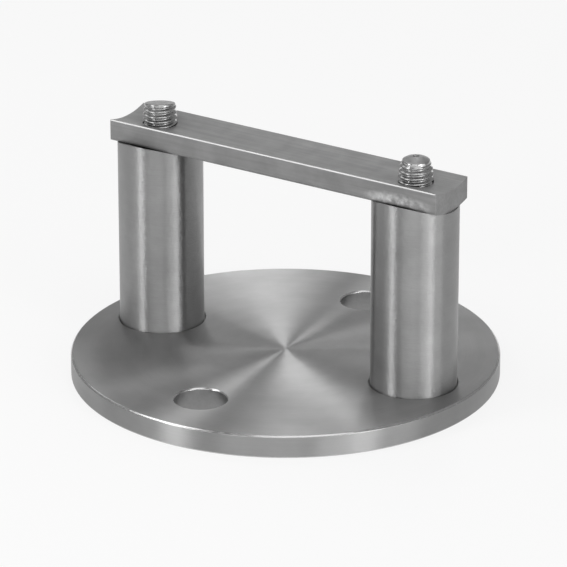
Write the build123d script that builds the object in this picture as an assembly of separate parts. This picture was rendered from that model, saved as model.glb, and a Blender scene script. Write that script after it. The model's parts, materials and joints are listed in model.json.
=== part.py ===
from build123d import *
import os
from math import radians, tan

# Wall flange in brushed stainless steel. A round plate is anchored to the wall, and two coped tubes
# stand in shallow seats on it. Two countersunk screws run from the plate's back through the tubes
# into tapped holes in a trough-section strip, and clamp the stack. The screw ends stand proud of
# the strip and hold a round rail that lies in the trough.
#
# Millimetres. The origin is the centre of the plate's back face. +Z points away from the wall,
# +X runs along the strip, and the two anchor holes lie on the Y axis.

# Round rail that the trough and the tube ends are shaped to
rail_diameter = 42.4

# Base plate
plate_diameter = 100.0
plate_thickness = 5.5
plate_edge_chamfer = 0.4

# Anchor holes, one on each side of the strip
anchor_hole_diameter = 12.0
anchor_hole_spacing = 70.0
anchor_hole_chamfer = 0.7

# Spacer tubes, and the shallow seats that centre them on the plate
tube_diameter = 20.0
tube_wall = 2.0
tube_spacing = 70.0
tube_seat_depth = 0.8
tube_seat_clearance = 0.3
tube_foot_chamfer = 0.3

# Saddle strip: a flat bar with a trough along its top and the same curve underneath
strip_seat_height = 49.3
strip_length = 89.0
strip_width = 14.0
strip_thickness = 5.0
strip_lower_edge_radius = 0.8
strip_upper_edge_chamfer = 0.3
strip_corner_radius = 0.5
strip_tapping_clearance = 0.05

# Countersunk socket screws
screw_diameter = 8.0
left_screw_length = 60.0
right_screw_length = 60.4
screw_bore_clearance = 0.25
screw_head_diameter = 16.0
screw_head_land = 0.4
screw_head_recess = 0.2
screw_head_clearance = 0.2
socket_across_flats = 5.0
socket_depth = 3.2
socket_mouth_margin = 0.25
socket_mouth_angle = 120.0

# The two screw ends differ: one is cut off flat, a little out of square, and the other has a
# plain point of smaller diameter with a domed tip
flat_end_slant = 10.0
flat_end_bevel = 0.5
point_diameter = 7.2
point_length = 2.9
point_dome_height = 1.8

# Worked out from the values above
rail_radius = rail_diameter / 2
tube_foot = plate_thickness - tube_seat_depth
screw_radius = screw_diameter / 2
screw_bore_radius = screw_radius + screw_bore_clearance
tapped_hole_radius = screw_radius + strip_tapping_clearance
screw_head_radius = screw_head_diameter / 2
screw_cone_foot = screw_head_recess + screw_head_land
left_screw_tip = screw_head_recess + left_screw_length
right_screw_tip = screw_head_recess + right_screw_length
tube_places = {"left": -tube_spacing / 2, "right": tube_spacing / 2}


def standing_cylinder(radius, foot, height):
    """A cylinder on the Z axis that stands at the given foot height."""
    cylinder = Cylinder(radius, height, align=(Align.CENTER, Align.CENTER, Align.MIN))
    return Pos(0, 0, foot) * cylinder


def rail_cylinder(lowest_height):
    """A length of rail along X whose lowest line lies at the given height."""
    rail = Cylinder(rail_radius, plate_diameter + strip_length, rotation=(0, 90, 0))
    return Pos(0, 0, lowest_height + rail_radius) * rail


def turned(outline):
    """The solid made by turning an outline about Z, drawn as radius and height."""
    return revolve(Plane.XZ * make_face(outline.edges()), Axis.Z)


def anchor_hole():
    """The cutter for one anchor hole, with a chamfer at the plate's front face."""
    radius = anchor_hole_diameter / 2
    mouth = radius + anchor_hole_chamfer
    return turned(Polyline(
        (0, 0),
        (radius, 0),
        (radius, plate_thickness - anchor_hole_chamfer),
        (mouth, plate_thickness),
        (0, plate_thickness),
        close=True,
    ))


def countersunk_hole():
    """The cutter for one screw: a countersink at the back and a clearance bore."""
    mouth = screw_head_radius + screw_head_clearance
    cone_end = screw_cone_foot + screw_head_radius - screw_bore_radius
    return turned(Polyline(
        (0, 0),
        (mouth, 0),
        (mouth, screw_cone_foot - screw_head_clearance),
        (screw_bore_radius, cone_end),
        (screw_bore_radius, plate_thickness),
        (0, plate_thickness),
        close=True,
    ))


def make_base_plate():
    plate = standing_cylinder(plate_diameter / 2, 0, plate_thickness)
    plate = chamfer(plate.edges().filter_by(GeomType.CIRCLE), plate_edge_chamfer)
    for y in (-anchor_hole_spacing / 2, anchor_hole_spacing / 2):
        plate -= Pos(0, y, 0) * anchor_hole()
    seat_radius = tube_diameter / 2 + tube_seat_clearance
    for x in tube_places.values():
        seat = standing_cylinder(seat_radius, tube_foot, tube_seat_depth)
        plate -= Pos(x, 0, 0) * (seat + countersunk_hole())
    return plate


def make_spacer_tube(x):
    """A tube that stands in its seat, with its top coped to the rail's curve."""
    height = strip_seat_height + rail_radius - tube_foot
    tube = standing_cylinder(tube_diameter / 2, tube_foot, height)
    tube = chamfer(tube.edges().group_by(Axis.Z)[0], tube_foot_chamfer)
    tube -= standing_cylinder(tube_diameter / 2 - tube_wall, tube_foot, height)
    return Pos(x, 0, 0) * tube - rail_cylinder(strip_seat_height)


def make_saddle_strip():
    """The bar between the rail's curve at the tube ends and the same curve one thickness up."""
    seat_centre = strip_seat_height + rail_radius
    section = Pos(0, seat_centre) * Circle(rail_radius)
    section &= Pos(0, strip_seat_height) * Rectangle(strip_width, rail_diameter)
    section -= Pos(0, seat_centre + strip_thickness) * Circle(rail_radius)
    section = chamfer(section.vertices().group_by(Axis.Y)[-1], strip_upper_edge_chamfer)
    section = fillet(section.vertices().group_by(Axis.Y)[0], strip_lower_edge_radius)
    strip = extrude(Plane.YZ * section, strip_length / 2, both=True)
    plan = RectangleRounded(strip_length, strip_width, strip_corner_radius)
    strip &= extrude(plan, strip_seat_height + rail_diameter)
    for x in tube_places.values():
        strip -= Pos(x, 0, 0) * standing_cylinder(tapped_hole_radius, strip_seat_height, rail_radius)
    return strip


def square_end(tip):
    return Line((screw_radius, tip), (0, tip))


def domed_point(tip):
    """A plain point below the screw's diameter, with a domed tip."""
    radius = point_diameter / 2
    shoulder = tip - point_length
    dome_foot = tip - point_dome_height
    dome_radius = (radius**2 + point_dome_height**2) / (2 * point_dome_height)
    sides = Polyline(
        (screw_radius, shoulder - (screw_radius - radius)),
        (radius, shoulder),
        (radius, dome_foot),
    )
    return sides + RadiusArc((radius, dome_foot), (0, tip), -dome_radius)


def make_screw(tip, end):
    """A countersunk socket screw on the Z axis, with its head in the plate's back."""
    outline_end = end(tip)
    shank = Polyline(
        (0, tip),
        (0, screw_head_recess),
        (screw_head_radius, screw_head_recess),
        (screw_head_radius, screw_cone_foot),
        (screw_radius, screw_cone_foot + screw_head_radius - screw_radius),
        outline_end @ 0,
    )
    screw = turned(shank + outline_end)
    hexagon = RegularPolygon(socket_across_flats / 2, 6, major_radius=False)
    screw -= extrude(Pos(0, 0, screw_head_recess) * hexagon, socket_depth)
    mouth = hexagon.vertices()[0].distance_to(Vertex(0, 0, 0)) + socket_mouth_margin
    depth = mouth / tan(radians(socket_mouth_angle / 2))
    screw -= Pos(0, 0, screw_head_recess) * turned(Polyline((0, 0), (mouth, 0), (0, depth), close=True))
    return screw


def cut_out_of_square(screw, tip):
    """The screw with its end cut off by a slanted plane, highest towards -Y, and bevelled."""
    size = 3 * screw_diameter
    above = Box(size, size, size, align=(Align.CENTER, Align.CENTER, Align.MIN))
    screw -= Pos(0, -screw_radius, tip) * Rot(X=-flat_end_slant) * above
    return chamfer(screw.edges().group_by(Axis.Z)[-1], flat_end_bevel)


def make_parts():
    screws = {
        "left": cut_out_of_square(make_screw(left_screw_tip, square_end), left_screw_tip),
        "right": make_screw(right_screw_tip, domed_point),
    }
    parts = {"base_plate": make_base_plate(), "saddle_strip": make_saddle_strip()}
    for side, x in tube_places.items():
        parts[f"spacer_tube_{side}"] = make_spacer_tube(x)
        parts[f"screw_{side}"] = Pos(x, 0, 0) * screws[side]
    return parts


os.makedirs("parts", exist_ok=True)
for name, solid in make_parts().items():
    export_step(solid, f"parts/{name}.step")
    print(name, round(solid.volume, 1), "mm3")
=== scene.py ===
import json
from math import asin, cos, pi, radians, sin, sqrt, tan

import bmesh
import bpy
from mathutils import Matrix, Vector


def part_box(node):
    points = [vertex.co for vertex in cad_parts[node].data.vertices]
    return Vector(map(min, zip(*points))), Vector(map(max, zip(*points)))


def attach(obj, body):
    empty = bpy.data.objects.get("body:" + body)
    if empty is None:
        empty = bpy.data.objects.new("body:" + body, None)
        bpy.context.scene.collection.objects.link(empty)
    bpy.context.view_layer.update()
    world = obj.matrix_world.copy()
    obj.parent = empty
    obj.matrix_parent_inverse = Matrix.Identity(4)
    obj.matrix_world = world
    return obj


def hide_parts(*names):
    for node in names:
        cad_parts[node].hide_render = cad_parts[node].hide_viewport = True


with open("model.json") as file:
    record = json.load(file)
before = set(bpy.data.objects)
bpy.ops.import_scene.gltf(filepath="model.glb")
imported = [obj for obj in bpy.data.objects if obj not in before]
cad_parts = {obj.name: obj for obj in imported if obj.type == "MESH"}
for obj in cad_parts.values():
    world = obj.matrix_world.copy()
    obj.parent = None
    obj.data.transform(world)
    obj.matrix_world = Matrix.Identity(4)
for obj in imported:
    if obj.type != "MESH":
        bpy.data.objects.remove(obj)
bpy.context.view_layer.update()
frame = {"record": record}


# Base plate. A disc of stainless steel, faced and edged on a lathe, so fine rings run round its
# faces and its rim. It has two anchor holes, a shallow seat for each tube, and a countersunk hole
# from the back for each screw.
MM = 0.001
plate_low, plate_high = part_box("base_plate")
plate_radius = (plate_high.x - plate_low.x) / 2
plate_thickness = plate_high.z
plate_edge_chamfer = 0.4 * MM
plate_edge_rounding = 0.12 * MM
plate_columns = 320
face_grey = 0.455
# The rim takes a darker grey than the faces, which paints shade on the plate's upright side.
shaded_rim_grey = 0.38
worn_plate_grey = 0.52
# The anchor holes' walls take a much darker grey than the faces, which paints shade inside the
# holes.
shaded_hole_wall_grey = 0.29
hole_rim_grey = 1.8 * shaded_hole_wall_grey

anchor_mount = next(m for m in frame["record"]["mounts"] if m["name"] == "anchor_holes")
anchor_hole_radius = anchor_mount["dims"]["hole_r_mm"] * MM
anchor_hole_spacing = anchor_mount["dims"]["spacing_y_mm"] * MM
anchor_hole_chamfer = 0.28 * MM
hole_columns = 96

tube_low, tube_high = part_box("spacer_tube_right")
tube_radius = (tube_high.x - tube_low.x) / 2
tube_offset = (tube_high.x + tube_low.x) / 2
tube_foot = tube_low.z
tube_seat_clearance = 0.3 * MM
tube_seat_lip = 0.12 * MM
tube_seat_columns = 128

screw_low, screw_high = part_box("screw_right")
screw_head_radius = (screw_high.x - screw_low.x) / 2
screw_head_recess = screw_low.z
screw_head_land = 0.4 * MM
screw_head_clearance = 0.2 * MM
screw_radius = 4 * MM
screw_bore_clearance = 0.25 * MM

# How far a cutter reaches past the faces that it cuts
past = 1 * MM

# A face counts as upright or level from the upward part of its normal, which goes from 0 to 1
upright_face = 0.3
level_face = 0.95


def eased(corners, rounding, steps=4):
    """An outline with each of its inner corners rounded over the given length."""
    largest_share = 0.45
    corners = [Vector(corner) for corner in corners]
    outline = [corners[0]]
    for before, corner, after in zip(corners, corners[1:], corners[2:]):
        shorter_side = min((before - corner).length, (after - corner).length)
        reach = min(rounding, largest_share * shorter_side)
        start = corner + (before - corner).normalized() * reach
        end = corner + (after - corner).normalized() * reach
        for i in range(steps + 1):
            t = i / steps
            outline.append((1 - t) ** 2 * start + 2 * t * (1 - t) * corner + t * t * end)
    return outline + [corners[-1]]


def piece_from(mesh, name):
    """The finished mesh as a smooth-shaded object, with its faces turned outwards."""
    sharp_bend = radians(50)
    bmesh.ops.recalc_face_normals(mesh, faces=mesh.faces)
    data = bpy.data.meshes.new(name)
    mesh.to_mesh(data)
    mesh.free()
    data.shade_smooth()
    data.set_sharp_from_angle(angle=sharp_bend)
    piece = bpy.data.objects.new(name, data)
    bpy.context.scene.collection.objects.link(piece)
    return piece


def join_rings(mesh, rings):
    """The faces from each ring of points to the next, going all the way round."""
    for lower, upper in zip(rings, rings[1:]):
        for i in range(len(lower)):
            j = (i + 1) % len(lower)
            mesh.faces.new((lower[i], lower[j], upper[j], upper[i]))


def turned(name, outline, columns, closed=False):
    """A solid turned about Z from (radius, height) points, with flat caps or a closed section."""
    mesh = bmesh.new()
    turns = [2 * pi * i / columns for i in range(columns)]
    rings = []
    for radius, height in outline:
        rings.append([mesh.verts.new((radius * cos(a), radius * sin(a), height)) for a in turns])
    if closed:
        rings.append(rings[0])
    join_rings(mesh, rings)
    if not closed:
        mesh.faces.new(reversed(rings[0]))
        mesh.faces.new(rings[-1])
    return piece_from(mesh, name)


def finish_mesh(piece):
    """Applies the piece's modifiers, so that its mesh is final."""
    bpy.context.view_layer.update()
    shape = piece.evaluated_get(bpy.context.evaluated_depsgraph_get())
    data = bpy.data.meshes.new_from_object(shape)
    piece.modifiers.clear()
    piece.data = data


def cut(piece, cutter, x=0.0, y=0.0):
    """Takes the cutter out of the piece at a place in plan, and deletes the cutter."""
    cutter.location = (x, y, 0)
    hole = piece.modifiers.new("hole", "BOOLEAN")
    hole.operation = "DIFFERENCE"
    hole.solver = "EXACT"
    hole.object = cutter
    finish_mesh(piece)
    bpy.data.objects.remove(cutter)


def even_shading(piece):
    """Lets the large faces set the shading at their edges, so flat faces look flat."""
    sharp_bend = radians(35)
    area_counts_most = 100
    piece.data.set_sharp_from_angle(angle=sharp_bend)
    weighting = piece.modifiers.new("even_shading", "WEIGHTED_NORMAL")
    weighting.keep_sharp = True
    weighting.weight = area_counts_most
    finish_mesh(piece)


def anchor_hole():
    """The cutter for one anchor hole, with a chamfer at the plate's front face."""
    corners = [
        (anchor_hole_radius, -past),
        (anchor_hole_radius, plate_thickness - anchor_hole_chamfer),
        (anchor_hole_radius + anchor_hole_chamfer + past, plate_thickness + past),
    ]
    return turned("anchor_hole", eased(corners, plate_edge_rounding), hole_columns)


def tube_seat():
    """The cutter for one tube's seat, with a narrow lip at the plate's front face."""
    radius = tube_radius + tube_seat_clearance
    corners = [
        (radius, tube_foot),
        (radius, plate_thickness - tube_seat_lip),
        (radius + tube_seat_lip + past, plate_thickness + past),
    ]
    return turned("tube_seat", eased(corners, plate_edge_rounding), tube_seat_columns)


def countersunk_hole():
    """The cutter for one screw: a countersink at the back and a clearance bore."""
    mouth = screw_head_radius + screw_head_clearance
    bore = screw_radius + screw_bore_clearance
    land = screw_head_recess + screw_head_land - screw_head_clearance
    corners = [(mouth, -past), (mouth, land), (bore, land + mouth - bore), (bore, plate_thickness)]
    return turned("countersunk_hole", corners, hole_columns)


flat_reach = plate_radius - 2 * plate_edge_chamfer
plate_corners = [
    (flat_reach, 0),
    (plate_radius - plate_edge_chamfer, 0),
    (plate_radius, plate_edge_chamfer),
    (plate_radius, plate_thickness - plate_edge_chamfer),
    (plate_radius - plate_edge_chamfer, plate_thickness),
    (flat_reach, plate_thickness),
]
plate_outline = eased(plate_corners, plate_edge_rounding)
base_plate = turned("turned_base_plate", plate_outline, plate_columns)
for y in (-anchor_hole_spacing / 2, anchor_hole_spacing / 2):
    cut(base_plate, anchor_hole(), y=y)
for x in (-tube_offset, tube_offset):
    cut(base_plate, tube_seat(), x=x)
    cut(base_plate, countersunk_hole(), x=x)
even_shading(base_plate)


def add_node(tree, kind, settings=None, **inputs):
    """A shader node with its settings, and each input set to a value or fed from a socket.

    An input goes by its name, or by its place in the node, as _0, _1 and so on."""
    node = tree.nodes.new(kind)
    for name, value in (settings or {}).items():
        setattr(node, name, value)
    for name, value in inputs.items():
        socket = node.inputs[int(name[1:])] if name[1:].isdigit() else node.inputs[name]
        if isinstance(value, bpy.types.NodeSocket):
            tree.links.new(value, socket)
        else:
            socket.default_value = value
    return node


def calculate(tree, operation, first, second=0.0):
    """One step of arithmetic between two sockets or numbers."""
    settings = {"operation": operation}
    return add_node(tree, "ShaderNodeMath", settings, _0=first, _1=second).outputs[0]


def place_on_piece(tree):
    """Where a point of the surface lies, in metres."""
    return add_node(tree, "ShaderNodeTexCoord").outputs["Object"]


def changed_place(tree, operation, place, amounts):
    """A place with three amounts taken off, multiplied in or divided out, axis by axis."""
    settings = {"operation": operation}
    return add_node(tree, "ShaderNodeVectorMath", settings, _0=place, _1=amounts).outputs[0]


def noise(tree, place, scale, detail, roughness=0.5):
    """Noise from 0 to 1 that changes about so many times in a unit of the place."""
    return add_node(
        tree, "ShaderNodeTexNoise", Vector=place, Scale=scale, Detail=detail, Roughness=roughness
    ).outputs["Fac"]


def turning_marks(tree, axis_x, rings_per_mm, rise_per_mm, sweep):
    """Noise drawn out into fine rings about a vertical axis, from 0 to 1.

    The marks change rings_per_mm times along the radius and rise_per_mm times along the height,
    and only a few times, set by sweep, on the way round."""
    smallest_radius = 0.01 * MM
    from_axis = changed_place(tree, "SUBTRACT", place_on_piece(tree), (axis_x, 0, 0))
    x, y, z = add_node(tree, "ShaderNodeSeparateXYZ", _0=from_axis).outputs
    x_squared = calculate(tree, "MULTIPLY", x, x)
    y_squared = calculate(tree, "MULTIPLY", y, y)
    radius = calculate(tree, "SQRT", calculate(tree, "ADD", x_squared, y_squared))
    radius = calculate(tree, "MAXIMUM", radius, smallest_radius)
    along_radius = calculate(tree, "MULTIPLY", radius, rings_per_mm / MM)
    along_height = calculate(tree, "MULTIPLY", z, rise_per_mm / MM)
    across = calculate(tree, "ADD", along_radius, along_height)
    round_x = calculate(tree, "MULTIPLY", calculate(tree, "DIVIDE", x, radius), sweep)
    round_y = calculate(tree, "MULTIPLY", calculate(tree, "DIVIDE", y, radius), sweep)
    where = add_node(tree, "ShaderNodeCombineXYZ", _0=across, _1=round_x, _2=round_y).outputs[0]
    return noise(tree, where, scale=1.0, detail=3.0, roughness=0.6)


def spread(tree, marks, low, high, faintest=0.3, strongest=0.7):
    """The marks from faintest to strongest, where most noise lies, stretched from low to high."""
    return add_node(
        tree, "ShaderNodeMapRange", _0=marks, _1=faintest, _2=strongest, _3=low, _4=high
    ).outputs[0]


def varied(tree, marks, middle, share):
    """A number that the marks make larger and smaller by up to a share of itself."""
    return spread(tree, marks, middle * (1 - share), middle * (1 + share))


def relief(tree, marks, depth, under=None):
    """Marks of the given depth in the surface, on top of other relief if there is any."""
    below = {} if under is None else {"Normal": under}
    bump = add_node(tree, "ShaderNodeBump", Height=marks, Strength=1.0, Distance=depth, **below)
    return bump.outputs[0]


def new_steel(name, metallic=1.0):
    """A new material with its node tree and its shader, which is bare metal unless told."""
    material = bpy.data.materials.new(name)
    material.use_nodes = True
    steel = material.node_tree.nodes["Principled BSDF"]
    steel.inputs["Metallic"].default_value = metallic
    return material, material.node_tree, steel


def set_surface(tree, steel, greys, roughness, normal):
    """Feeds the shader a grey, a roughness and a relief that vary over the surface."""
    colour = add_node(tree, "ShaderNodeCombineColor", _0=greys, _1=greys, _2=greys).outputs[0]
    tree.links.new(colour, steel.inputs["Base Color"])
    tree.links.new(roughness, steel.inputs["Roughness"])
    tree.links.new(normal, steel.inputs["Normal"])


def turned_steel(name, grey, roughness, rise_per_mm, scratch_depth, axis_x=0.0):
    """Stainless steel with rings left by the lathe or the belt, all round a vertical axis.

    Short scratches of the given depth lie along the rings and fray highlights, and the grey has
    faint streaks and cloudy patches."""
    ring_depth = 0.0015 * MM
    streak_share = 0.04
    patch_share = 0.06
    patches_per_metre = 110
    roughness_change = 0.03
    quarter_turn = 0.25
    material, tree, steel = new_steel(name)
    steel.inputs["Anisotropic"].default_value = 1.0
    steel.inputs["Anisotropic Rotation"].default_value = quarter_turn
    rings = add_node(tree, "ShaderNodeTangent", {"direction_type": "RADIAL", "axis": "Z"})
    tree.links.new(rings.outputs[0], steel.inputs["Tangent"])
    fine = turning_marks(tree, axis_x, rings_per_mm=5.0, rise_per_mm=rise_per_mm, sweep=1.5)
    broad_rise = rise_per_mm / 20
    broad = turning_marks(tree, axis_x, rings_per_mm=0.25, rise_per_mm=broad_rise, sweep=2.0)
    scratches = turning_marks(tree, axis_x, rings_per_mm=2.0, rise_per_mm=2.0, sweep=8.0)
    patches = noise(tree, place_on_piece(tree), patches_per_metre, detail=4.0)
    fine_streaks = varied(tree, fine, 1, streak_share)
    broad_streaks = varied(tree, broad, 1, streak_share)
    streaks = calculate(tree, "MULTIPLY", fine_streaks, broad_streaks)
    greys = calculate(tree, "MULTIPLY", streaks, varied(tree, patches, grey, patch_share))
    shine = spread(tree, fine, roughness - roughness_change, roughness + roughness_change)
    ringed = relief(tree, fine, ring_depth)
    set_surface(tree, steel, greys, shine, relief(tree, scratches, scratch_depth, under=ringed))
    return material


def bright_steel(name, grey, roughness, mark_depth):
    """Bright steel, smooth from the tool, with faint marks."""
    grey_share = 0.08
    marks_per_metre = 900
    smoother = 0.05
    rougher = 0.08
    material, tree, steel = new_steel(name)
    marks = noise(tree, place_on_piece(tree), marks_per_metre, detail=3.0)
    greys = varied(tree, marks, grey, grey_share)
    shine = spread(tree, marks, roughness - smoother, roughness + rougher)
    set_surface(tree, steel, greys, shine, relief(tree, marks, mark_depth))
    return material


plate_roughness = 0.42
plate_rise_per_mm = 4.0
plate_scratch_depth = 0.02 * MM
plate_mark_depth = 0.0005 * MM
plate_finishes = {
    "face": turned_steel(
        "turned_stainless", face_grey, plate_roughness, plate_rise_per_mm, plate_scratch_depth
    ),
    # Smooth drilled walls with a darker grey, painted shade inside the anchor holes.
    "hole_wall": bright_steel(
        "shaded_drilled_wall", shaded_hole_wall_grey, roughness=0.4, mark_depth=plate_mark_depth
    ),
    "hole_rim": bright_steel(
        "countersunk_rim", hole_rim_grey, roughness=0.22, mark_depth=plate_mark_depth
    ),
    # The rim's darker copy of the turned steel, painted shade on the upright side.
    "rim": turned_steel(
        "shaded_turned_rim", shaded_rim_grey, plate_roughness, plate_rise_per_mm, plate_scratch_depth
    ),
    "worn_edge": bright_steel(
        "worn_plate_edge", worn_plate_grey, roughness=0.2, mark_depth=plate_mark_depth
    ),
}


def give_finishes(piece, finishes, finish_of):
    """Puts the finishes on the piece, and on each face the one that its function names."""
    for material in finishes.values():
        piece.data.materials.append(material)
    for face in piece.data.polygons:
        face.material_index = list(finishes).index(finish_of(face))


def plate_finish(face):
    """The finish of one face of the plate, from where it lies and how steep it stands."""
    hole_wall_face = 0.1
    hole_level_face = 0.97
    hole_reach = anchor_hole_radius + anchor_hole_chamfer + plate_edge_rounding
    edge_reach = plate_radius - plate_edge_chamfer - plate_edge_rounding
    from_hole = Vector((face.center.x, abs(face.center.y) - anchor_hole_spacing / 2))
    level = abs(face.normal.z)
    if from_hole.length < hole_reach and level < hole_level_face:
        # Hole walls take the darker grey, painted shade; chamfers take the bright rim.
        return "hole_wall" if face.normal.z < hole_wall_face else "hole_rim"
    if face.center.xy.length > edge_reach and level < level_face:
        return "rim" if level < upright_face else "worn_edge"
    return "face"


give_finishes(base_plate, plate_finishes, plate_finish)
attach(base_plate, "root")
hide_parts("base_plate")


# Spacer tubes. Two lengths of round stainless tube, ground round and round to a satin finish. Each
# stands in its seat in the plate, and its top end is coped a little wider than the rail's round,
# so a thin gap shows under the strip's edges.
tube_wall = 2 * MM
tube_foot_chamfer = 0.3 * MM
tube_rim_rounding = 0.15 * MM
tube_columns = 192
tube_grey = 0.37
tube_roughness = 0.4
tube_rise_per_mm = 5.0
tube_scratch_depth = 0.07 * MM
left_cope_radius = 24.5 * MM
right_cope_radius = 22 * MM
strip_low, strip_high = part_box("saddle_strip")
strip_seat_height = strip_low.z


def cope(across, radius):
    """How far a round cut rises above its lowest line, at a distance across it."""
    return radius - sqrt(radius**2 - across**2)


def spacer_tube(side, x, cope_radius):
    """One tube, turned straight, with its upper half then pushed up to the round of its cope."""
    outer = tube_radius
    inner = tube_radius - tube_wall
    middle = (tube_foot + strip_seat_height) / 2
    corners = [
        (outer, middle),
        (outer, strip_seat_height),
        (inner, strip_seat_height),
        (inner, tube_foot),
        (outer - tube_foot_chamfer, tube_foot),
        (outer, tube_foot + tube_foot_chamfer),
        (outer, middle - past),
    ]
    name = f"ground_tube_{side}"
    tube = turned(name, eased(corners, tube_rim_rounding), tube_columns, closed=True)
    for point in tube.data.vertices:
        if point.co.z > middle + past:
            point.co.z += cope(point.co.y, cope_radius)
        point.co.x += x
    even_shading(tube)
    tube.data.materials.append(
        turned_steel(name, tube_grey, tube_roughness, tube_rise_per_mm, tube_scratch_depth, x)
    )
    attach(tube, "root")
    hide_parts(f"spacer_tube_{side}")


spacer_tube("left", -tube_offset, left_cope_radius)
spacer_tube("right", tube_offset, right_cope_radius)


# Saddle strip. A stainless bar drawn with a trough along its top for the rail and the same curve
# underneath, sawn to length and left matt. It lies in the coped tube ends, and the screws are
# driven through its two tapped holes, which clamps the stack.
rail_radius = 21.2 * MM
strip_thickness = 5 * MM
strip_half_width = strip_high.y
strip_half_length = strip_high.x
strip_lower_edge_radius = 0.8 * MM
strip_upper_edge_chamfer = 0.22 * MM
strip_corner_radius = 0.5 * MM
strip_edge_rounding = 0.1 * MM
strip_tapping_clearance = 0.05 * MM
strip_grey = 0.32
# The upright sides and ends take a darker copy of the strip's grey, which paints shade on them.
shaded_strip_side_grey = 0.75 * strip_grey
worn_strip_grey = 0.45
# Where the painted patch of light lies on the strip's front, above the right tube, and how far it
# reaches; it stands in for light that the tube reflects there.
painted_light_centre = (34.5 * MM, -7 * MM, 51.8 * MM)
painted_light_reach = (8.5 * MM, 3 * MM, 1.9 * MM)


def quarter_round(radius, steps):
    """The points of a quarter circle as two distances from its centre."""
    turns = [radians(90) * i / steps for i in range(steps + 1)]
    return [(radius * cos(turn), radius * sin(turn)) for turn in turns]


def strip_section():
    """The strip's section as (across, height) points, going round once."""
    steps = 24
    top = strip_seat_height + strip_thickness
    upper = strip_half_width - strip_upper_edge_chamfer
    lower = strip_half_width - strip_lower_edge_radius
    side_top = top + cope(upper, rail_radius) - strip_upper_edge_chamfer
    side_foot = strip_seat_height + cope(lower, rail_radius) + strip_lower_edge_radius
    trough = [upper * (2 * i / steps - 1) for i in range(steps + 1)]
    underside = [lower * (1 - 2 * i / steps) for i in range(1, steps)]
    corner = quarter_round(strip_lower_edge_radius, steps=8)
    corner = [(lower + out, side_foot - down) for out, down in corner]
    section = [(across, top + cope(across, rail_radius)) for across in trough]
    section.append((strip_half_width, side_top))
    section += corner
    section += [(across, strip_seat_height + cope(across, rail_radius)) for across in underside]
    section += [(-across, height) for across, height in reversed(corner)]
    section.append((-strip_half_width, side_top))
    return section


def strip_hole():
    """The cutter for one tapped hole."""
    bore = screw_radius + strip_tapping_clearance
    line = [(bore, strip_seat_height - past), (bore, strip_high.z + past)]
    return turned("strip_hole", line, hole_columns)


def prism(name, first, second):
    """A solid between two outlines of as many points each, with flat ends."""
    mesh = bmesh.new()
    ends = [[mesh.verts.new(point) for point in outline] for outline in (first, second)]
    join_rings(mesh, ends)
    for end in ends:
        mesh.faces.new(end)
    return piece_from(mesh, name)


def strip_corner(side_x, side_y):
    """The cutter that rounds one of the strip's four upright corners."""
    x = strip_half_length - strip_corner_radius
    y = strip_half_width - strip_corner_radius
    plan = [(x, y + past), (x + past, y + past), (x + past, y)]
    plan += [(x + u, y + v) for u, v in quarter_round(strip_corner_radius, steps=6)]
    low = [(side_x * u, side_y * v, strip_low.z - past) for u, v in plan]
    high = [(side_x * u, side_y * v, strip_high.z + past) for u, v in plan]
    return prism("strip_corner", low, high)


left_end = [(-strip_half_length, across, height) for across, height in strip_section()]
right_end = [(strip_half_length, across, height) for across, height in strip_section()]
saddle_strip = prism("blasted_saddle_strip", left_end, right_end)
for x in (-tube_offset, tube_offset):
    cut(saddle_strip, strip_hole(), x=x)
for side_x in (-1, 1):
    for side_y in (-1, 1):
        cut(saddle_strip, strip_corner(side_x, side_y))
rounding = saddle_strip.modifiers.new("rounded_edges", "BEVEL")
rounding.width = strip_edge_rounding
rounding.segments = 2
rounding.limit_method = "ANGLE"
rounding.angle_limit = radians(30)
finish_mesh(saddle_strip)
even_shading(saddle_strip)


def painted_light_patch(tree, place, strength):
    """How much the painted patch of light lightens the grey: most at its centre, spotty, and 1
    outside it.
    """
    spots_per_metre = 900
    spot_share = 0.7
    full_reach = 0.3
    whole_reach = 1.1
    from_centre = changed_place(tree, "SUBTRACT", place, painted_light_centre)
    in_reach = changed_place(tree, "DIVIDE", from_centre, painted_light_reach)
    away = add_node(tree, "ShaderNodeVectorMath", {"operation": "LENGTH"}, _0=in_reach)
    near = spread(tree, away.outputs["Value"], strength, 0.0, full_reach, whole_reach)
    spots = varied(tree, noise(tree, place, spots_per_metre, detail=3.0), 1, spot_share)
    return calculate(tree, "ADD", calculate(tree, "MULTIPLY", near, spots), 1.0)


def matt_steel(name, grey, roughness, metallic, painted_light=0.0):
    """Matt stainless steel with a fine grain, faint lines along the bar and cloudy patches.

    A painted patch of light, standing in for light that the right tube reflects, lightens one
    patch on the front, above the right tube."""
    grains_per_metre = 6000
    clouds_per_metre = 220
    lines_per_metre = (60, 1500, 1500)
    cloud_share = 0.1
    line_share = 0.08
    grain_share = 0.04
    grain_depth = 0.003 * MM
    roughness_change = 0.04
    shine_grey = 0.4
    material, tree, steel = new_steel(name, metallic)
    steel.inputs["Specular Tint"].default_value = (shine_grey, shine_grey, shine_grey, 1)
    place = place_on_piece(tree)
    grain = noise(tree, place, grains_per_metre, detail=2.0)
    cloud = noise(tree, place, clouds_per_metre, detail=4.0)
    drawn = changed_place(tree, "MULTIPLY", place, lines_per_metre)
    lines = noise(tree, drawn, scale=1.0, detail=3.0)
    greys = varied(tree, cloud, grey, cloud_share)
    greys = calculate(tree, "MULTIPLY", greys, varied(tree, lines, 1, line_share))
    greys = calculate(tree, "MULTIPLY", greys, varied(tree, grain, 1, grain_share))
    # The painted patch of light on the front, a painted reflection.
    greys = calculate(tree, "MULTIPLY", greys, painted_light_patch(tree, place, painted_light))
    shine = spread(tree, cloud, roughness - roughness_change, roughness + roughness_change)
    set_surface(tree, steel, greys, shine, relief(tree, grain, grain_depth))
    return material


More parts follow.
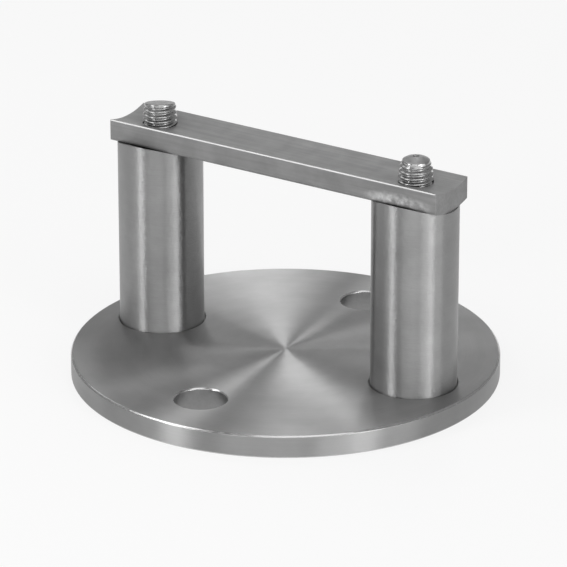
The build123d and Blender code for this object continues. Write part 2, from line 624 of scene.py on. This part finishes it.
strip_finishes = {
    "drawn": matt_steel("blasted_strip", strip_grey, roughness=0.5, metallic=0.4),
    "worn_edge": matt_steel("worn_strip_edge", worn_strip_grey, roughness=0.3, metallic=1.0),
    # The darker copy for the sides and ends, painted shade, which also carries the painted patch
    # of light on the front.
    "side": matt_steel(
        "shaded_strip_side", shaded_strip_side_grey, roughness=0.5, metallic=0.4, painted_light=1.3
    ),
}


def strip_finish(face):
    """The finish of one face of the strip, from where it lies and how steep it stands."""
    edge_reach = strip_half_width - strip_upper_edge_chamfer - strip_edge_rounding
    at_edge = abs(face.center.y) > edge_reach
    at_end = abs(face.normal.x) > 0.5
    if at_edge and upright_face < face.normal.z < level_face:
        return "worn_edge"
    # Upright sides and ends take the darker copy, which paints shade on them.
    if abs(face.normal.z) < upright_face and (at_edge or at_end):
        return "side"
    return "drawn"


give_finishes(saddle_strip, strip_finishes, strip_finish)
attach(saddle_strip, "root")
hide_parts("saddle_strip")


# Screws. Long countersunk socket screws in bright stainless steel, with a rolled M8 thread. Their
# heads lie just below flush in the plate's back, and their ends stand proud of the strip. The left
# end is cut off a little out of square, and the right one has a short cone under a domed tip.
thread_pitch = 1.25 * MM
thread_length = 28 * MM
thread_depth = 0.7 * MM
thread_rows = 16
thread_columns = 96
screw_turns = [2 * pi * i / thread_columns for i in range(thread_columns)]
socket_across_flats = 5 * MM
socket_depth = 3.2 * MM
socket_mouth_margin = 0.25 * MM
socket_mouth_slope = tan(radians(60))
flat_end_slope = tan(radians(11))
slant_turn = radians(33)
flat_end_radius = 3.45 * MM
flat_end_bevel_width = 0.15 * MM
flat_end_bevel_height = 0.25 * MM
cone_radius = 3.26 * MM
cone_height = 0.45 * MM
dome_radius = 3.1 * MM
dome_height = 0.95 * MM
dimple_radius = 0.8 * MM
dimple_depth = 0.8 * MM
dimple_floor_radius = 0.6 * MM
dimple_middle_radius = 0.24 * MM
screw_end_rounding = 0.1 * MM
cone_rounding = 0.35 * MM
screw_grey = 0.43
# The left screw's flat end takes a darker grey than the right one's cap, which paints shade on
# that flat face.
shaded_left_end_grey = 0.29
right_end_grey = 0.38
screw_mark_depth = 0.002 * MM

# Places on the taper: how far below its end, and how much of the crests' drop is still to come
taper_places = [(2.8 * MM, 1.0), (1.4 * MM, 0.7), (0.5 * MM, 0.4), (0.0, 0.0)]


def end_taper(radius, height):
    """The thread's last turns, whose crests fall to the given radius at the given height."""
    drop = screw_radius - radius
    return [(radius + part * drop, height - below) for below, part in taper_places]


def flat_end(tip):
    """An end cut off flat: the crests' taper, and the outline from there to the middle."""
    taper = end_taper(flat_end_radius + flat_end_bevel_width, tip - flat_end_bevel_height)
    face = [taper[-1], (flat_end_radius, tip), (flat_end_radius / 2, tip)]
    return taper, eased(face, screw_end_rounding)


def domed_point(tip):
    """A domed end on a short cone, with the dimple of a lathe centre in its top."""
    steps = 12
    foot = tip - dome_height
    sphere = (dome_radius**2 + dome_height**2) / (2 * dome_height)
    widest = asin(dome_radius / sphere)
    narrowest = asin(dimple_radius / sphere)
    taper = end_taper(cone_radius, foot - cone_height)
    dome = []
    for i in range(1, steps + 1):
        turn = widest + (narrowest - widest) * i / steps
        dome.append((sphere * sin(turn), tip - sphere + sphere * cos(turn)))
    floor = dome[-1][1] - dimple_depth
    dimple = [(dimple_floor_radius, floor), (dimple_middle_radius, floor)]
    cone = eased([taper[-1], (dome_radius, foot), dome[0]], cone_rounding)
    return taper, cone[:-1] + dome + dimple


def slant_fall(slope, along, across):
    """How far a sloping cut lies below its highest point, at a place on the screw's end."""
    return slope * (screw_radius - along * sin(slant_turn) + across * cos(slant_turn))


def screw_ring(mesh, x, radius, height, slope=0.0):
    """A ring of points about the axis of the screw at x, level or along a sloping cut."""
    circle = [(radius * cos(a), radius * sin(a)) for a in screw_turns]
    return [mesh.verts.new((x + u, v, height - slant_fall(slope, u, v))) for u, v in circle]


def screw_head(mesh, x, start):
    """The head with its hexagon socket, and the shank up to the ring where the thread starts."""
    face = screw_head_recess
    land = face + screw_head_land
    mouth = socket_across_flats / sqrt(3) + socket_mouth_margin
    socket_floor = []
    socket_edge = []
    for a in screw_turns:
        # The distance from the axis to the hexagon's side in this direction
        reach = socket_across_flats / 2 / cos((a + pi / 6) % (pi / 3) - pi / 6)
        place = (x + reach * cos(a), reach * sin(a))
        socket_floor.append(mesh.verts.new((*place, face + socket_depth)))
        socket_edge.append(mesh.verts.new((*place, face + (mouth - reach) / socket_mouth_slope)))
    corners = [
        (mouth, face),
        (screw_head_radius, face),
        (screw_head_radius, land),
        (screw_radius, land + screw_head_radius - screw_radius),
        (screw_radius, start),
    ]
    outline = eased(corners, screw_end_rounding)
    rings = [socket_floor, socket_edge] + [screw_ring(mesh, x, r, z) for r, z in outline]
    join_rings(mesh, rings)
    mesh.faces.new(socket_floor)
    return rings[-1]


def crest_radius(taper, height):
    """The radius of the thread's crests at a height, which falls along the taper."""
    for (r0, z0), (r1, z1) in zip(taper, taper[1:]):
        if z0 < height < z1:
            return r0 + (r1 - r0) * (height - z0) / (z1 - z0)
    return screw_radius if height <= taper[0][1] else taper[-1][0]


def thread_cut(above_crest, to_foot, to_end):
    """How deep the thread is cut at a height above one of its crests, running out at both ends."""
    foot_run_out = 1.5 * thread_pitch
    end_run_out = 0.6 * thread_pitch
    rolled = 0.5 - 0.5 * cos(2 * pi * above_crest / thread_pitch)
    at_foot = min(max(to_foot / foot_run_out, 0), 1)
    at_end = min(max(to_end / end_run_out, 0), 1)
    return thread_depth * rolled * at_foot * at_end


def screw_thread(mesh, x, start, foot, taper, crown, slope):
    """The thread, from the ring at its foot to the ring at its crown.

    It is a helix of upright columns of points, each of which starts a little higher than the
    last. Points that would lie past either ring are that ring's own."""
    top = taper[-1][1]
    step = thread_pitch / thread_rows
    smallest_step = 0.2 * step
    rows = int((top - start) / step) + 2 * thread_rows + 2
    columns = []
    for i, a in enumerate(screw_turns):
        column = []
        lead = thread_pitch * i / thread_columns
        drop = slant_fall(slope, screw_radius * cos(a), screw_radius * sin(a))
        for row in range(rows):
            height = start - thread_pitch + lead + row * step
            if height <= start:
                column.append(foot[i])
            elif height >= top - drop - smallest_step:
                column.append(crown[i])
            else:
                depth = thread_cut(height - lead - start, height - start, top - drop - height)
                radius = crest_radius(taper, height + drop) - depth
                column.append(mesh.verts.new((x + radius * cos(a), radius * sin(a), height)))
        columns.append(column)
    for i, here in enumerate(columns):
        last = i == thread_columns - 1
        beside = columns[0][thread_rows:] if last else columns[i + 1]
        beside = beside + [crown[(i + 1) % thread_columns]] * (rows - len(beside))
        for row in range(rows - 1):
            corners = [here[row], beside[row], beside[row + 1], here[row + 1]]
            corners = list(dict.fromkeys(corners))
            if len(corners) > 2:
                mesh.faces.new(corners)


def screw(side, x, end, cut_end_grey, slope=0.0):
    """One screw. Its end is cut off with the given slope, highest at its front right."""
    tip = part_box(f"screw_{side}")[1].z
    start = tip - thread_length
    taper, outline = end(tip)
    mesh = bmesh.new()
    foot = screw_head(mesh, x, start)
    crown = screw_ring(mesh, x, *outline[0], slope)
    screw_thread(mesh, x, start, foot, taper, crown, slope)
    rings = [crown] + [screw_ring(mesh, x, r, z, slope) for r, z in outline[1:]]
    join_rings(mesh, rings)
    mesh.faces.new(rings[-1])
    piece = piece_from(mesh, f"threaded_screw_{side}")

    def end_finish(face):
        """The end's own finish on its level faces and in the dimple, and bright elsewhere."""
        along, across, height = face.center - Vector((x, 0, 0))
        on_end = height > taper[-1][1] - slant_fall(slope, along, across)
        in_dimple = along**2 + across**2 < dimple_radius**2
        faces_up = face.normal.z > 0.6
        return "end" if on_end and (faces_up or in_dimple) else "thread"

    screw_finishes = {
        "thread": bright_steel(
            f"bright_screw_{side}", screw_grey, roughness=0.2, mark_depth=screw_mark_depth
        ),
        "end": bright_steel(
            f"cut_screw_end_{side}", cut_end_grey, roughness=0.5, mark_depth=screw_mark_depth
        ),
    }
    give_finishes(piece, screw_finishes, end_finish)
    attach(piece, "root")
    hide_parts(f"screw_{side}")


# The left end's darker grey paints shade on its flat cut face.
screw("left", -tube_offset, flat_end, shaded_left_end_grey, slope=flat_end_slope)
screw("right", tube_offset, domed_point, right_end_grey)


# Camera, at the photograph's angle, a little above the plate and to its left.
camera_azimuth = radians(33.40)
camera_elevation = radians(22.18)
camera_distance = 0.992
camera_target = Vector((-0.0004, -0.0003, 0.0218))
towards_camera = Vector((sin(camera_azimuth), -cos(camera_azimuth), 0))
camera_right = Vector((cos(camera_azimuth), sin(camera_azimuth), 0))
straight_back = towards_camera * cos(camera_elevation) + Vector((0, 0, sin(camera_elevation)))
camera_data = bpy.data.cameras.new("camera")
camera_data.lens = 272
camera_data.sensor_width = 36
camera = bpy.data.objects.new("camera", camera_data)
camera.location = camera_target + straight_back * camera_distance
camera.rotation_euler = straight_back.to_track_quat("Z", "Y").to_euler()
bpy.context.scene.collection.objects.link(camera)
bpy.context.scene.camera = camera


# Floor, a plain pale sheet under the plate. It looks nearly white from above, keeps the flange's
# soft shadow, and lets a view from below through.
floor_size = 40.0
floor_gap = 0.02 * MM
floor_white_share = 0.8
floor_paint = (0.9, 0.9, 0.9, 1)
floor_mesh = bmesh.new()
bmesh.ops.create_grid(floor_mesh, x_segments=1, y_segments=1, size=floor_size / 2)
floor_data = bpy.data.meshes.new("floor")
floor_mesh.to_mesh(floor_data)
floor_mesh.free()
floor = bpy.data.objects.new("floor", floor_data)
floor.location.z = -floor_gap
bpy.context.scene.collection.objects.link(floor)
pale = bpy.data.materials.new("pale_floor")
pale.use_nodes = True
tree = pale.node_tree
tree.nodes.remove(tree.nodes["Principled BSDF"])
seen = add_node(tree, "ShaderNodeLightPath").outputs
straight = calculate(tree, "MAXIMUM", seen["Is Camera Ray"], seen["Is Glossy Ray"])
straight = calculate(tree, "MAXIMUM", straight, seen["Is Transmission Ray"])
share = calculate(tree, "MULTIPLY", straight, floor_white_share)
paint = add_node(tree, "ShaderNodeBsdfDiffuse", Color=floor_paint).outputs[0]
white = add_node(tree, "ShaderNodeEmission", Color=(1, 1, 1, 1), Strength=1.0).outputs[0]
top_side = add_node(tree, "ShaderNodeMixShader", _0=share, _1=paint, _2=white).outputs[0]
under_side = add_node(tree, "ShaderNodeBsdfTransparent").outputs[0]
from_below = add_node(tree, "ShaderNodeNewGeometry").outputs["Backfacing"]
both = add_node(tree, "ShaderNodeMixShader", _0=from_below, _1=top_side, _2=under_side).outputs[0]
tree.links.new(both, tree.nodes["Material Output"].inputs["Surface"])
floor.data.materials.append(pale)


# Lights: a dim, even room, a slim lamp close by on the left, a tall soft box on the right, and
# softer boxes in front, above and behind.
room_brightness = 0.34
room = bpy.data.worlds.new("room")
room.use_nodes = True
room.node_tree.nodes["Background"].inputs["Color"].default_value = (1, 1, 1, 1)
room.node_tree.nodes["Background"].inputs["Strength"].default_value = room_brightness
bpy.context.scene.world = room


def soft_lamp(name, turn, rise, distance, width, tall, brightness):
    """A flat lamp that faces the flange, turned from the camera's side and raised, in degrees."""
    data = bpy.data.lights.new(name, "AREA")
    data.shape = "RECTANGLE"
    data.size = width
    data.size_y = tall
    data.energy = brightness * pi * width * tall
    lamp = bpy.data.objects.new(name, data)
    side = towards_camera * cos(radians(turn)) + camera_right * sin(radians(turn))
    towards_lamp = side * cos(radians(rise)) + Vector((0, 0, sin(radians(rise))))
    lamp.location = camera_target + towards_lamp * distance
    lamp.rotation_euler = towards_lamp.to_track_quat("Z", "Y").to_euler()
    bpy.context.scene.collection.objects.link(lamp)


soft_lamp("slim_lamp", turn=-56, rise=14, distance=0.45, width=0.1, tall=0.18, brightness=5.7)
soft_lamp("left_box", turn=-82, rise=48, distance=0.9, width=0.34, tall=0.34, brightness=2.8)
soft_lamp("tall_box", turn=43, rise=20, distance=1.2, width=0.32, tall=0.8, brightness=2.6)
soft_lamp("low_wide", turn=30, rise=10, distance=1.3, width=0.7, tall=0.5, brightness=2.7)
soft_lamp("right_low", turn=62, rise=10, distance=1.3, width=0.4, tall=0.5, brightness=1.6)
soft_lamp("front_top", turn=14, rise=60, distance=1.2, width=0.8, tall=0.45, brightness=1.3)
soft_lamp("front_box", turn=-12, rise=20, distance=1.3, width=1.0, tall=0.8, brightness=1.2)
soft_lamp("back_top", turn=174, rise=53, distance=1.3, width=0.22, tall=0.5, brightness=4.1)
soft_lamp("overhead", turn=0, rise=88, distance=1.3, width=0.5, tall=0.5, brightness=1.1)
soft_lamp("back_low", turn=174, rise=8, distance=1.5, width=0.9, tall=0.4, brightness=1.5)
soft_lamp("left_back", turn=-135, rise=36, distance=1.3, width=0.5, tall=0.4, brightness=1.1)

bpy.context.scene.view_settings.view_transform = "Standard"
